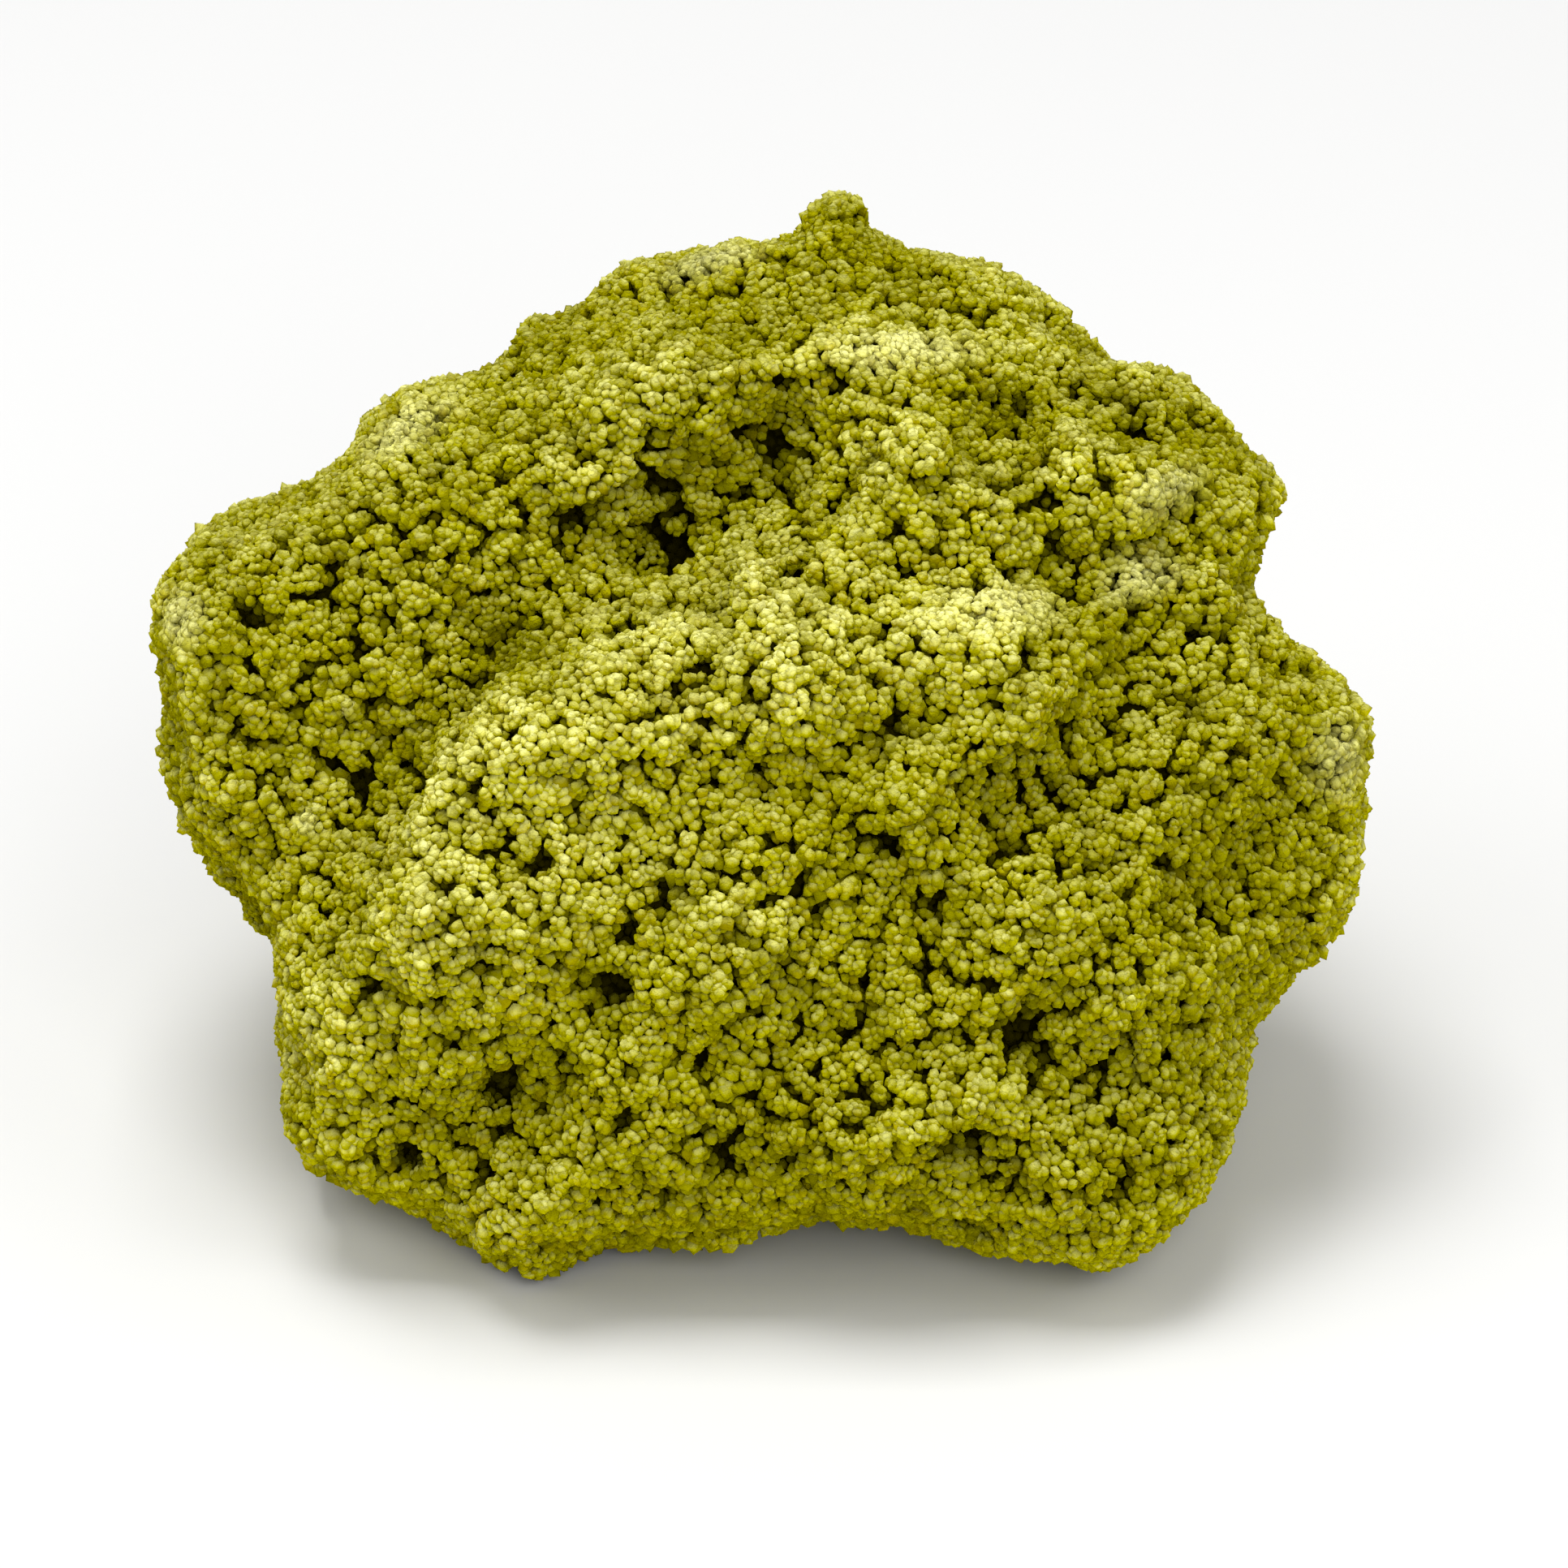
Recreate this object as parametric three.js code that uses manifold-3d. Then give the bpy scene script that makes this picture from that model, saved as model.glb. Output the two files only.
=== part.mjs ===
// A hand specimen of nontronite: one crumbly, lumpy block of iron clay that grew as a single piece.
//
// The block is a two-parameter surface over the directions of a sphere. Its widest outline, the
// girdle, lies in a plane that leans back from the vertical. On the girdle frame u runs to the
// right, v runs up the leaning plane, and w comes out of the block's main face.
//
//   1. A rounded body: the girdle's radius in u and v, and a front and a back depth in w.
//   2. Broad relief of each side in w: mounds, ridges, valleys, ledges and pits, by place.
//   3. Knobs: rounded lumps a few millimetres across, raised along the surface normal.
//   4. The foot: the underside is hollowed a little, then cut flat where it stands.
//
// Units are millimetres, +Z up, origin under the middle of the block on the surface it rests on.
import * as THREE from "three";
import { mergeVertices } from "three/addons/utils/BufferGeometryUtils.js";
import Module from "manifold-3d";

// ---------------------------------------------------------------- driving dimensions
const CENTRE_HEIGHT = 29.6; // height of the girdle's centre above the foot
const FACE_LEAN = THREE.MathUtils.degToRad(30); // how far the girdle plane leans back
const FRONT_DEPTH = 20.5; // from the girdle's centre out to the main face
const BACK_DEPTH = 30; // from the girdle's centre out to the back
const BACK_SAG = 0.34; // the back sinks along the girdle plane by this share of its depth
const ROUNDNESS = 2.35; // 2 is an ellipsoid, more is boxier
const GIRDLE_SETBACK = 3; // the girdle's centre lies this far behind the frame's origin
const GIRDLE_SHEAR = 0.14; // and its top lies further back, by this share of its height
const EVENING = 24; // degrees over which the outline is evened out away from the girdle
const GRID = 28; // facets along each of the twelve seams of the sphere grid

// Girdle outline, [u, v], anticlockwise from the right.
const GIRDLE = [
  [39.4, -0.3], [39.1, 2.7], [35.0, 4.7], [32.0, 7.1], [31.6, 10.4], [33.9, 14.3],
  [33.2, 16.9], [31.3, 19.1], [28.6, 21.6], [25.4, 24.5], [22.0, 25.2], [18.3, 29.0],
  [13.2, 30.8], [9.2, 33.1], [6.9, 34.6], [4.8, 35.6], [2.9, 34.0], [1.3, 32.3],
  [-4.4, 31.6], [-10.3, 30.1], [-15.5, 28.5], [-18.5, 23.4], [-21.3, 22.6], [-25.4, 20.9],
  [-27.2, 18.6], [-33.2, 15.4], [-37.9, 13.8], [-39.9, 10.8], [-40.6, 7.7], [-38.8, 1.3],
  [-38.8, -2.9], [-37.0, -6.6], [-32.5, -12.1], [-32.0, -18.2], [-31.1, -21.0], [-31.4, -25.3],
  [-28.1, -29.2], [-20.0, -31.6], [-18.2, -34.6], [-15.8, -35.6], [-12.2, -33.2], [-4.4, -33.6],
  [2.9, -32.2], [8.5, -32.7], [13.5, -34.0], [18.8, -34.0], [22.0, -34.8], [25.8, -31.3],
  [29.1, -28.6], [30.6, -22.6], [31.1, -17.8], [35.0, -14.9], [36.4, -13.0], [36.9, -10.1],
  [39.0, -5.5],
];

// ---------------------------------------------------------------- broad relief
// Each form gives its rise in millimetres at a place [u, v] of the girdle frame.

// A rounded mound or hollow with an oval foot, turned by some degrees.
function mound(at, radii, turn, rise) {
  const cos = Math.cos(THREE.MathUtils.degToRad(turn));
  const sin = Math.sin(THREE.MathUtils.degToRad(turn));
  return (u, v) => {
    const along = ((u - at[0]) * cos + (v - at[1]) * sin) / radii[0];
    const across = ((v - at[1]) * cos - (u - at[0]) * sin) / radii[1];
    return rise * Math.exp(-along * along - across * across);
  };
}

// Where a place lies against a polyline of [u, v, rise]: how far off it, on its left (+1) or its
// right (-1), and the line's own rise there.
function fromLine(line, u, v) {
  const found = { distance: Infinity, side: 1, rise: 0 };
  for (let i = 1; i < line.length; i++) {
    const [au, av, aRise] = line[i - 1];
    const [bu, bv] = [line[i][0] - au, line[i][1] - av];
    const t = THREE.MathUtils.clamp(((u - au) * bu + (v - av) * bv) / (bu * bu + bv * bv), 0, 1);
    const [du, dv] = [u - au - t * bu, v - av - t * bv];
    const distance = Math.hypot(du, dv);
    if (distance < found.distance) {
      found.distance = distance;
      found.side = Math.sign(bu * dv - bv * du) || 1;
      found.rise = aRise + (line[i][2] - aRise) * t;
    }
  }
  return found;
}

// A ridge, or a valley where its rise is negative, along a polyline of [u, v, rise].
function ridge(halfWidth, line) {
  return (u, v) => {
    const { distance, rise } = fromLine(line, u, v);
    return rise * Math.exp(-((distance / halfWidth) ** 2));
  };
}

// A ledge along a polyline of [u, v, drop]: on its right the surface drops at once, then climbs
// back over the run.
function ledge(run, line) {
  const LIP = 0.9;
  return (u, v) => {
    const { distance, side, rise } = fromLine(line, u, v);
    const past = -side * distance;
    const fallen = THREE.MathUtils.smoothstep(past, -LIP, LIP);
    return -rise * fallen * Math.exp(-((Math.max(past, 0) / run) ** 2) - (Math.max(-past, 0) / LIP) ** 2);
  };
}

const FRONT_RELIEF = [
  // The brow: a terrace that climbs from the lower left flank and ends on the right in a blunt nose.
  ridge(4.2, [
    [-24, -15, 1.2], [-22.5, -9.1, 2.6], [-20, -3.9, 3.6], [-15.8, 0.3, 4.2], [-11.7, 2.3, 4.2],
    [-5.4, 4.2, 4], [0.8, 5.2, 4], [8, 5.4, 3.8], [13.2, 6.2, 3.8], [17.9, 4.6, 3.4],
  ]),
  mound([16.5, 1.6], [3.4, 4], 0, 2),
  // The main face below it: full at first, then falling back towards the foot.
  mound([2, -4], [17, 7], 0, 2.4),
  mound([0, -22], [26, 6], 0, -1.4),
  // The valley behind the brow, from the deep recess down to the left-hand limb.
  ridge(3.8, [
    [3, 17.4, -3], [-0.3, 15.4, -5.2], [-7.5, 11.6, -6], [-12.7, 7.9, -6], [-17.9, 3.9, -5.8],
    [-21.8, 0.2, -5.4], [-25, -3.3, -4.6], [-28.6, -7.4, -3.2], [-32, -11.5, -2],
  ]),
  mound([-0.6, 17.4], [6.2, 2.6], 36, -4.6),
  mound([-8, 12.8], [3.4, 2.4], 34, -1.4),
  // The upper left lobe: its crest near the skyline, and its swell towards the left-hand limb.
  ridge(5, [
    [-36.5, 10.6, 1.6], [-28.3, 15.4, 3.2], [-20, 18.8, 3.6], [-12.7, 21.2, 3.4], [-3.4, 22.6, 3.4],
    [2.5, 22.2, 2],
  ]),
  mound([-37, 6], [6, 11], 0, 6),
  mound([-26, 6], [5, 7], -30, -1.6),
  ridge(3.6, [[-16, 26.4, -1], [-6, 28.2, -1.6], [2, 28.6, -1.4]]),
  // The smooth shoulder and the upper right lobe, which ends below in a ledge.
  mound([9.3, 24.6], [5.4, 3.2], 10, 1.8),
  mound([9.6, 17.4], [6, 4.2], -10, 1.8),
  ridge(4.4, [[9.6, 17.2, 1.4], [15.8, 16.2, 2.2], [23.6, 15.6, 2.4], [32, 15, 2.2]]),
  mound([17.4, 22], [2.6, 2], 0, -2),
  ledge(4.2, [[12, 11.6, 0.8], [18, 12.2, 1.6], [23.6, 13, 2.4], [34, 12.4, 2.6]]),
  // The right-hand lobe with its own crest, and the valley between it and the nose.
  ridge(3.8, [[23.6, 10.2, 1.6], [28.8, 7.6, 2.8], [34, 4.4, 3.2], [38.4, -0.8, 2.2]]),
  ridge(2.9, [
    [28, 5.4, -1.4], [23.6, 5, -2.8], [20.8, 1.6, -2.8], [18.2, -3.2, -2.6], [13.2, -6.4, -1.6],
  ]),
  mound([30.5, -8], [3.2, 5], 10, -2.2),
  mound([17.2, -11], [4, 4.4], 0, 1.6),
  mound([9.6, -6.4], [2.4, 3], 0, 1),
  mound([27, -14], [4.6, 4], 30, 1.2),
  mound([25.4, -20.4], [2.4, 3], 0, -1.6),
  // The lower left shoulder with its deep holes.
  ridge(4.2, [[-32, -22, 1.6], [-28.3, -14.8, 2.6], [-22.1, -11.7, 1.6], [-15.8, -12, 1.4]]),
  mound([-22.6, -27], [2.8, 1.7], 0, -2.8),
  mound([-16.9, -24.1], [2.2, 1.9], 0, -2.4),
  mound([-13.2, -21.8], [1.7, 1.4], 0, -1.6),
  mound([-9.8, -16.2], [1.9, 3.2], 0, -2.2),
  // Ledges and swells low on the main face.
  ledge(3.6, [[-8, -17.6, 1], [0, -17.4, 1.6], [6, -18.2, 1.6], [16, -18.4, 1.8]]),
  ledge(3.4, [[-8, -26, 1], [2, -27, 1.2], [9, -26.6, 1.6], [16, -27, 1]]),
  mound([12, -23.6], [5, 2.6], 0, 1.2),
  mound([24, -27], [4.5, 4.6], 20, 1.6),
  mound([-14, -31], [4.4, 3], 0, 1.2),
];

// The back is a broken face: two stepped shelves, a long cleft between them, and shallow scars.
const BACK_RELIEF = [
  ridge(6, [[-34, 10, 1.5], [-22, 15, 4], [-8, 13, 4.6], [6, 18, 4.4], [20, 20, 3]]),
  ridge(4.6, [[-30, 2, -1.4], [-16, 5, -2.6], [-2, 4.5, -2.4], [12, 9, -2.8], [24, 9.5, -2.4]]),
  ridge(6.5, [[-32, -6, 1.6], [-16, -3, 2.4], [0, -4, 2.2], [16, 0, 2.6], [32, -1, 2.2]]),
  ledge(5, [[-22, 21, 1.8], [-8, 20, 3], [6, 23.5, 2.8], [16, 24, 1.6]]),
  mound([-12, 26], [6, 4], 10, -3),
  mound([18, 27], [6, 4], -15, 2.4),
  mound([28, 4], [5, 6], 20, -2.6),
  mound([27, -13], [6, 7], 0, 2.8),
  mound([-24, -17], [6, 5], 0, 2.6),
  mound([-2, -17], [8, 4], 0, -2.6),
  mound([-31, 17], [5, 4.5], 0, 2.2),
  mound([9, 2], [3, 2.4], 0, -2.4),
  mound([-17, -1], [2.6, 3], 0, -2.4),
  mound([-4, 9], [5, 3], 25, 1.8),
];

// ---------------------------------------------------------------- knobs and feet
const KNOB_LAYERS = [
  { spacing: 14, rise: 3, seed: 3 },
  { spacing: 7.8, rise: 2.4, seed: 11 },
  { spacing: 4.6, rise: 1.6, seed: 29 },
];
const KNOB_MEAN = 0.7; // the part of a knob's rise that lies below the surface it grows on
// The underside stands on three worn pads, [x, y, radius], and is hollow between them.
const PADS = [
  [-14.5, -14, 9.5],
  [21.5, -12.5, 9],
  [3, 12, 13],
];
const UNDER_HOLLOW = 2.4; // how high the hollow between the pads rises
const PAD_DEPTH = 1; // how much of the rough underside is worn off each pad

// ---------------------------------------------------------------- shape
// The girdle's radius at whole degrees: as drawn, and evened out for the parts far from it.
const DEGREES = 360;
const girdleRadii = radiiOf(GIRDLE);
const evenRadii = girdleRadii.map((_, i) => {
  let sum = 0;
  let weights = 0;
  for (let step = -75; step <= 75; step++) {
    const weight = Math.exp(-((step / EVENING) ** 2));
    sum += weight * girdleRadii[(i + step + DEGREES) % DEGREES];
    weights += weight;
  }
  return sum / weights;
});

// Reads a closed outline's radius at each whole degree off a smooth curve through its points.
function radiiOf(outline) {
  const corners = outline.map(([u, v]) => new THREE.Vector3(u, v, 0));
  const curve = new THREE.CatmullRomCurve3(corners, true, "centripetal").getPoints(1440);
  const radii = new Array(DEGREES).fill(0);
  const hits = new Array(DEGREES).fill(0);
  for (const p of curve) {
    const degree = Math.round((THREE.MathUtils.radToDeg(Math.atan2(p.y, p.x)) + DEGREES) % DEGREES) % DEGREES;
    radii[degree] += Math.hypot(p.x, p.y);
    hits[degree] += 1;
  }
  return radii.map((sum, degree) => sum / hits[degree]);
}

// A list of radii read at any angle.
function radiusAt(radii, angle) {
  const degrees = (THREE.MathUtils.radToDeg(angle) + DEGREES) % DEGREES;
  const below = Math.floor(degrees) % DEGREES;
  const t = degrees - Math.floor(degrees);
  return radii[below] * (1 - t) + radii[(below + 1) % DEGREES] * t;
}

// The forms' rise at a place, read a little off it, so that no ridge or ledge runs straight.
function riseOf(forms, u, v) {
  const wanderU = 0.8 * Math.sin(0.52 * v + 0.21 * u + 1.3) + 0.5 * Math.sin(1.13 * u - 0.74 * v + 4.1);
  const wanderV = 0.8 * Math.sin(0.47 * u - 0.19 * v + 0.4) + 0.5 * Math.sin(0.98 * v + 0.81 * u + 2.2);
  return forms.reduce((sum, form) => sum + form(u + wanderU, v + wanderV), 0);
}

// The block's surface in one direction of the girdle frame, in that frame.
function blockPoint(direction) {
  const { x: du, y: dv, z: dw } = direction;
  const angle = Math.atan2(dv, du);
  const even = THREE.MathUtils.smoothstep(Math.abs(dw), 0.05, 0.6);
  const reach = radiusAt(girdleRadii, angle) * (1 - even) + radiusAt(evenRadii, angle) * even;
  const inPlane = (Math.hypot(du, dv) / reach) ** ROUNDNESS;
  const inDepth = (Math.abs(dw) / (dw > 0 ? FRONT_DEPTH : BACK_DEPTH)) ** ROUNDNESS;
  const radius = (inPlane + inDepth) ** (-1 / ROUNDNESS);
  const [u, v, w] = [du * radius, dv * radius, dw * radius];
  const front = THREE.MathUtils.smoothstep(dw, -0.2, 0.3);
  const rise = front * riseOf(FRONT_RELIEF, u, v) - (1 - front) * riseOf(BACK_RELIEF, u, v);
  return new THREE.Vector3(u, v + BACK_SAG * Math.min(w, 0), w + rise - GIRDLE_SETBACK - GIRDLE_SHEAR * v);
}

// A repeatable random number from 0 to 1 for one cell of a lattice.
function cellRandom(i, j, k, seed) {
  const wave = Math.sin(i * 127.1 + j * 311.7 + k * 74.7 + seed * 19.19) * 43758.5453;
  return wave - Math.floor(wave);
}

// Rounded knobs packed side by side: 1 on top of a knob, 0 in the creases between them.
function knobs(p, spacing, seed) {
  const [x, y, z] = [p.x / spacing, p.y / spacing, p.z / spacing];
  const [i0, j0, k0] = [Math.floor(x), Math.floor(y), Math.floor(z)];
  let nearest = Infinity;
  for (let i = i0 - 1; i <= i0 + 1; i++)
    for (let j = j0 - 1; j <= j0 + 1; j++)
      for (let k = k0 - 1; k <= k0 + 1; k++) {
        const dx = i + cellRandom(i, j, k, seed) - x;
        const dy = j + cellRandom(i, j, k, seed + 1) - y;
        const dz = k + cellRandom(i, j, k, seed + 2) - z;
        nearest = Math.min(nearest, dx * dx + dy * dy + dz * dz);
      }
  return 1 - nearest;
}

// A sphere grid: a cube's six grids, spread so that their facets come out alike.
function sphereGrid() {
  const cube = new THREE.BoxGeometry(2, 2, 2, GRID, GRID, GRID);
  cube.deleteAttribute("normal");
  cube.deleteAttribute("uv");
  const place = cube.getAttribute("position");
  for (let i = 0; i < place.count; i++) {
    const spread = [place.getX(i), place.getY(i), place.getZ(i)].map((c) => Math.tan((c * Math.PI) / 4));
    const direction = new THREE.Vector3(...spread).normalize();
    place.setXYZ(i, direction.x, direction.y, direction.z);
  }
  return mergeVertices(cube, 1e-5);
}

// Splits each four-sided facet along its shorter diagonal, so that crests stay sharp.
function splitShortWays(geometry) {
  const place = geometry.getAttribute("position");
  const index = geometry.index.array;
  const at = (i) => new THREE.Vector3().fromBufferAttribute(place, i);
  for (let i = 0; i < index.length; i += 6) {
    const [a, b, d, , c] = index.slice(i, i + 5);
    if (at(a).distanceTo(at(c)) < at(b).distanceTo(at(d))) index.set([a, b, c, a, c, d], i);
  }
  return geometry;
}

// How high the underside lies at a place before it is worn flat: below 0 over the pads.
function underside(x, y) {
  const covered = PADS.map(([px, py, radius]) => Math.exp(-((Math.hypot(x - px, y - py) / radius) ** 4)));
  const open = covered.reduce((product, c) => product * (1 - c), 1);
  return UNDER_HOLLOW * open - PAD_DEPTH * (1 - open);
}

function roughBlock() {
  const block = sphereGrid();
  const place = block.getAttribute("position");
  const standing = new THREE.Matrix4()
    .makeTranslation(0, 0, CENTRE_HEIGHT)
    .multiply(new THREE.Matrix4().makeRotationX(Math.PI / 2 - FACE_LEAN));
  for (let i = 0; i < place.count; i++) {
    const p = blockPoint(new THREE.Vector3().fromBufferAttribute(place, i)).applyMatrix4(standing);
    place.setXYZ(i, p.x, p.y, p.z);
  }
  block.computeVertexNormals();
  const normal = block.getAttribute("normal");
  for (let i = 0; i < place.count; i++) {
    const p = new THREE.Vector3().fromBufferAttribute(place, i);
    const n = new THREE.Vector3().fromBufferAttribute(normal, i);
    const bare = p.clone();
    for (const { spacing, rise, seed } of KNOB_LAYERS)
      p.addScaledVector(n, rise * (knobs(bare, spacing, seed) - KNOB_MEAN));
    p.z = Math.max(p.z, underside(p.x, p.y));
    place.setXYZ(i, p.x, p.y, p.z);
  }
  block.deleteAttribute("normal");
  return splitShortWays(block);
}

// ---------------------------------------------------------------- the flat foot
const wasm = await Module();
wasm.setup();

function toSolid(geometry) {
  return new wasm.Manifold(
    new wasm.Mesh({
      numProp: 3,
      vertProperties: new Float32Array(geometry.getAttribute("position").array),
      triVerts: new Uint32Array(geometry.index.array),
    }),
  );
}

function toGeometry(solid) {
  const mesh = solid.getMesh();
  return new THREE.BufferGeometry()
    .setAttribute("position", new THREE.BufferAttribute(mesh.vertProperties, 3))
    .setIndex(new THREE.BufferAttribute(mesh.triVerts, 1));
}

// Everything under the surface that the block stands on.
function ground() {
  const SIDE = 200;
  const DEPTH = 40;
  const box = new THREE.BoxGeometry(SIDE, SIDE, DEPTH).translate(0, 0, -DEPTH / 2);
  box.deleteAttribute("normal");
  box.deleteAttribute("uv");
  return toSolid(mergeVertices(box));
}

const geometry = toGeometry(toSolid(roughBlock()).subtract(ground()));
geometry.computeVertexNormals();
geometry.computeBoundingBox();
const middle = geometry.boundingBox.getCenter(new THREE.Vector3());
geometry.translate(-middle.x, -middle.y, 0);

const clay = new THREE.MeshStandardMaterial({ color: 0x98941c, roughness: 0.95, metalness: 0 });
const nontronite = new THREE.Mesh(geometry, clay);
nontronite.name = "nontronite";

const specimen = new THREE.Group();
specimen.add(nontronite);

export default specimen;
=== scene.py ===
"""A hand specimen of nontronite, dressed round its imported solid.

The solid gives the block its outline, ledges and recesses. Here a skin is drawn onto it and
swollen a little by place. Some eighty thousand earthy beads, each a small closed dome, sit below
that skin on a relief of lumps, clusters and gaps, and the skin itself, sunk under them, closes the
ground. Lengths in the shape functions are millimetres, and make_mesh turns them into metres.
"""

import itertools
import math

import bpy
import numpy as np
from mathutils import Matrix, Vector
from mathutils.kdtree import KDTree


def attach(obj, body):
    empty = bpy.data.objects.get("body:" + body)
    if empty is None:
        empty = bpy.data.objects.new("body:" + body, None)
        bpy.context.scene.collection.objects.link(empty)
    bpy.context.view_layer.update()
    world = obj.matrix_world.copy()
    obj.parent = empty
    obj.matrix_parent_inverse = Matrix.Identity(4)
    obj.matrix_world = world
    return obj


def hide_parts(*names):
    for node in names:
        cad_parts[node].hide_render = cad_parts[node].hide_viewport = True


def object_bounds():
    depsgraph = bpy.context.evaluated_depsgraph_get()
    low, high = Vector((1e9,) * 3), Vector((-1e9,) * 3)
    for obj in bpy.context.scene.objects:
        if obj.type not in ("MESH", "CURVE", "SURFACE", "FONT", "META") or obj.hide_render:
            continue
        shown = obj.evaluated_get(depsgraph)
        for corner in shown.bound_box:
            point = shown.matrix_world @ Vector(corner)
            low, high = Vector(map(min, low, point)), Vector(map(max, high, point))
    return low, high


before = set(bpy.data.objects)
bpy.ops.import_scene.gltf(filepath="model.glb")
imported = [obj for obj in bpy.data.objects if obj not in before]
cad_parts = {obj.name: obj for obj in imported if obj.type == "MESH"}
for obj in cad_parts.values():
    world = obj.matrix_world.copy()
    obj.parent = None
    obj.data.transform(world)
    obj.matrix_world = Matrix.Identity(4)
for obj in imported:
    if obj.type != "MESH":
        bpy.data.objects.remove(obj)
cad_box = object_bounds()

NODE = "nontronite"
MM = 0.001

# The block's own frame: u to the right, v up the leaning main face, w out of it.
GIRDLE_CENTRE = np.array([0.30, -4.20, 29.6])
LEAN = math.radians(30)
U = np.array([1.0, 0.0, 0.0])
V = np.array([0.0, math.sin(LEAN), math.cos(LEAN)])
W = np.array([0.0, -math.cos(LEAN), math.sin(LEAN)])


def unit(vectors):
    """The vectors scaled to length 1."""
    return vectors / np.linalg.norm(vectors, axis=1, keepdims=True)


# ------------------------------------------------------------------ numbers scattered in space


# Large odd numbers that stir a cell's place, its seed, and the result, once for each number.
CELL_STIR = np.array([73856093, 19349663, 83492791], np.uint32)
SEED_STIR = 2654435761
LAST_STIRS = (2246822519, 3266489917, 668265263)

FAR = 9.0  # further than any spot can be, in cells


def cell_random(cell, seed):
    """Three repeatable numbers from 0 to 1 for each whole-numbered cell: its place is multiplied
    by large odd numbers, and the high bits are folded down and mixed again for each number."""
    mixed = np.bitwise_xor.reduce(cell.astype(np.int64).astype(np.uint32) * CELL_STIR, axis=1)
    mixed = mixed ^ np.full_like(mixed, seed * SEED_STIR % 2**32)
    found = []
    for factor in LAST_STIRS:
        mixed = (mixed ^ (mixed >> 15)) * np.full_like(mixed, factor)
        mixed = mixed ^ (mixed >> 13)
        found.append(mixed)
    return np.stack(found, 1) / 2.0**32


def nearest_spot(points, size, seed, spread=0.9):
    """One spot lies in each cell of a cubic grid, off its middle by up to half the spread. Returns
    how far each point's nearest spot is, as a share of the cell's size."""
    at = points / size
    home = np.floor(at)
    nearest = np.full(len(at), FAR)
    for offset in itertools.product((-1, 0, 1), repeat=3):
        cell = home + offset
        spot = cell + 0.5 + spread * (cell_random(cell, seed) - 0.5)
        nearest = np.minimum(nearest, np.linalg.norm(spot - at, axis=1))
    return nearest


def noise(points, size, seed):
    """Three smooth random numbers from -1 to 1: each corner of a cubic grid has its own, and they
    are blended across the cell by 3t^2 - 2t^3."""
    at = points / size
    home = np.floor(at)
    t = at - home
    t = t * t * (3 - 2 * t)
    total = np.zeros_like(at)
    for offset in itertools.product((0, 1), repeat=3):
        share = np.prod(np.where(offset, t, 1 - t), axis=1, keepdims=True)
        total += share * cell_random(home + offset, seed)
    return 2 * total - 1


# ------------------------------------------------------------------ forms given by place

# Holes between the lumps of the main face: u, v, radius, depth.
HOLES = [
    (-23.1, -27.2, 0.9, 2.2), (-16.9, -23.1, 0.8, 2.0), (-13.2, -21.8, 0.6, 1.6),
    (-9.9, -15.8, 1.1, 2.0), (16.4, 21.2, 0.6, 1.6), (28.8, -4.0, 0.5, 1.4),
]

# Swells, or hollows where the rise is negative: u, v, half length, half width, turn, rise.
SWELLS = [
    (-8.2, 20.4, 3.6, 3.2, 20, 1.0), (-0.6, 22.6, 3.6, 1.5, -20, 0.9),
    (8.0, 17.4, 3.8, 2.8, 20, 1.1), (-1.2, 17.8, 3.2, 1.9, 20, -0.7),
    (8.6, 24.4, 5.2, 2.0, 5, 0.5), (24.2, -21.4, 2.3, 2.1, 0, 1.5),
    (-1.0, 0.8, 6.5, 2.6, 4, 1.2), (-10.3, 16.0, 3.0, 2.8, 0, 1.9),
    (-5.0, 14.2, 2.6, 1.8, 0, 0.8), (10.2, 11.9, 2.0, 1.5, 0, 0.7),
    (21.3, 12.5, 2.5, 1.3, 0, 0.6), (-14.5, -0.8, 3.0, 2.4, 20, 0.9),
    (-20.5, -12.0, 3.0, 3.0, 0, 0.9), (-1.5, -12.5, 4.0, 2.6, -20, 1.1),
    (15.8, 20.5, 2.2, 1.6, 0, -1.0),
]

# The knob on the very top: its middle, its half width, how far its sides stand out, and its neck.
TOP_KNOB = np.array([4.8, 17.2, 57.2])
KNOB_WIDTH = 2.6
KNOB_RISE = 1.3
KNOB_SIDEWAYS = [1, 1, 0.4]
NECK_DEPTH = 0.6
NECK_PLACE, NECK_WIDTH = 1.5, 0.4  # as shares of the knob's half width

# Powdery places, where the beads lie closer, wider and flatter, and are paler: u, v, half length,
# half width, turn.
DUSTY = [
    (14.3, 8.4, 4.4, 1.7, 0), (23.6, 10.1, 3.2, 1.6, 20), (8.4, 24.6, 6.0, 1.7, 4),
    (-23.1, 20.0, 4.0, 1.6, 30), (36.6, -1.3, 2.2, 3.0, 0), (-37.1, 7.5, 2.0, 2.4, 0),
    (25.2, 15.3, 3.4, 2.0, 30), (-28.8, -5.4, 0.9, 0.9, 0), (-26.2, 1.3, 0.6, 0.7, 0),
    (-3.6, 31.0, 4.0, 1.3, 20),
]

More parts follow.
